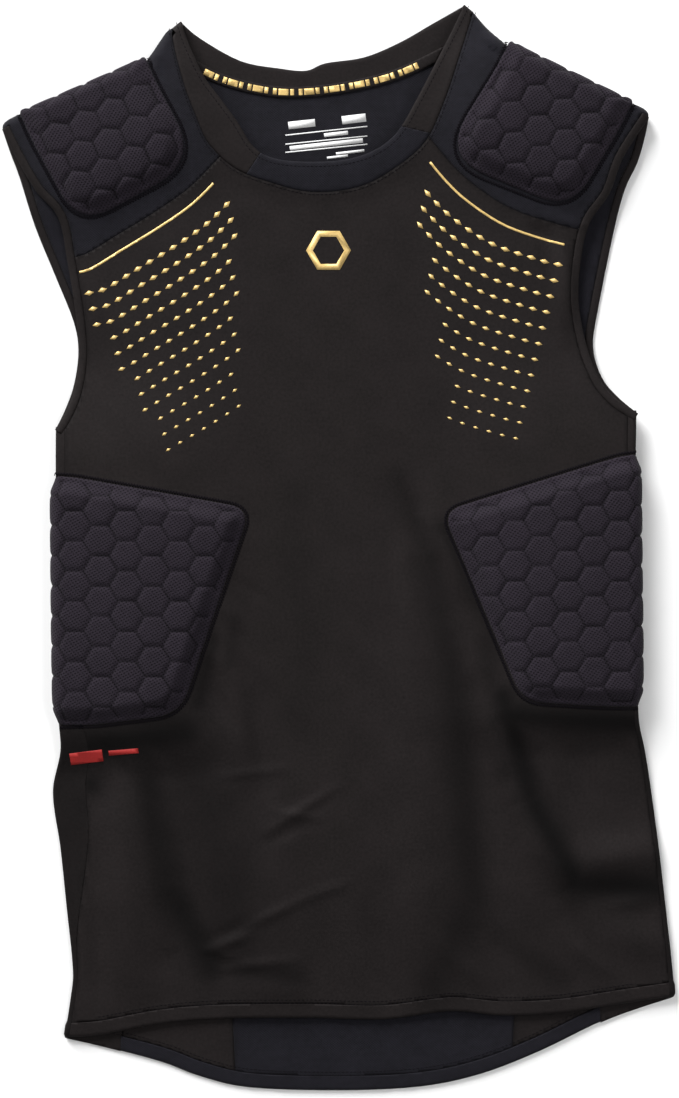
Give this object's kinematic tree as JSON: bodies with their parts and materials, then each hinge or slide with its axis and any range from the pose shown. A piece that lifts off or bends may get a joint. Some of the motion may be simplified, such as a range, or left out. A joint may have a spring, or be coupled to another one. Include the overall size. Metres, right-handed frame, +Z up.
{
  "type": "padded compression shirt",
  "caption": "Sleeveless compression shirt laid flat, with hexagon-quilted foam pads over the ribs and shoulders, mesh yokes and a dropped back hem.",
  "frame": {"origin": "On the surface it lies on, under the middle of its bounding box", "axes": "+Z up from the surface, the front of the shirt up; +Y from the hem to the shoulders; +X to the right as seen from above"},
  "size_m": [0.4502, 0.7274, 0.022],
  "materials": {
    "satin": "smooth warp knit with a soft sheen, black",
    "mesh": "fine matte mesh knit, blue-black",
    "pad_knit": "matte pinhole knit over quilted foam, purple-black",
    "tape": "woven black tape and flat gold print"
  },
  "bodies": {
    "root": {"front_body": "satin", "neckband_left": "satin", "neckband_right": "satin", "back_side_left": "satin", "back_side_right": "satin", "back_collar": "satin", "side_panel_left": "satin", "side_panel_right": "satin", "underarm_left": "satin", "underarm_right": "satin", "binding_front_left": "satin", "binding_front_right": "satin", "binding_back_left": "satin", "binding_back_right": "satin", "hem_front": "satin", "front_yoke_left": "mesh", "front_yoke_right": "mesh", "neckband_front": "mesh", "back_center": "mesh", "hem_back": "mesh", "side_pad_left": "pad_knit", "side_pad_right": "pad_knit", "shoulder_pad_left": "pad_knit", "shoulder_pad_right": "pad_knit", "neck_tape": "tape"}
  },
  "joints": []
}
